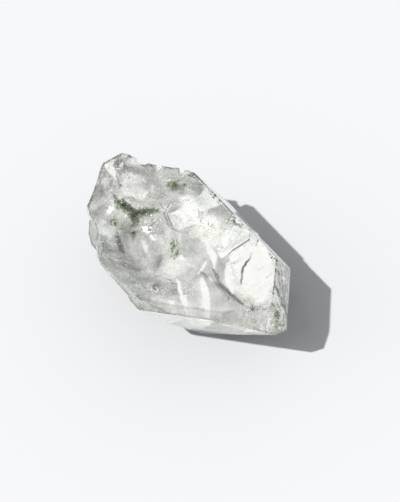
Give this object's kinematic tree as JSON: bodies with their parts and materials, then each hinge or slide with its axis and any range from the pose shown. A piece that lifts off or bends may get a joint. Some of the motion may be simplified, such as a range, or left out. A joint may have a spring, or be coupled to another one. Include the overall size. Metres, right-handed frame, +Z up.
{
  "type": "chlorite quartz crystal",
  "caption": "Natural quartz point with green chlorite inside, flat crystal faces, a pointed tip and a broken end with shell-like hollows; a specimen that lies on a flat side.",
  "frame": {"origin": "on the table, under the middle of the object's box as it lies on its underside", "axes": "+X along the crystal's long axis, towards its point; +Z up from the table; +Y across it"},
  "size_m": [0.0608, 0.0382, 0.0247],
  "materials": {
    "quartz": "clear, slightly grey-green natural crystal with glossy faces and glassy fractures",
    "chlorite": "dull dark green mineral grains sealed inside the quartz"
  },
  "bodies": {
    "root": {"crystal": "quartz"}
  },
  "joints": []
}
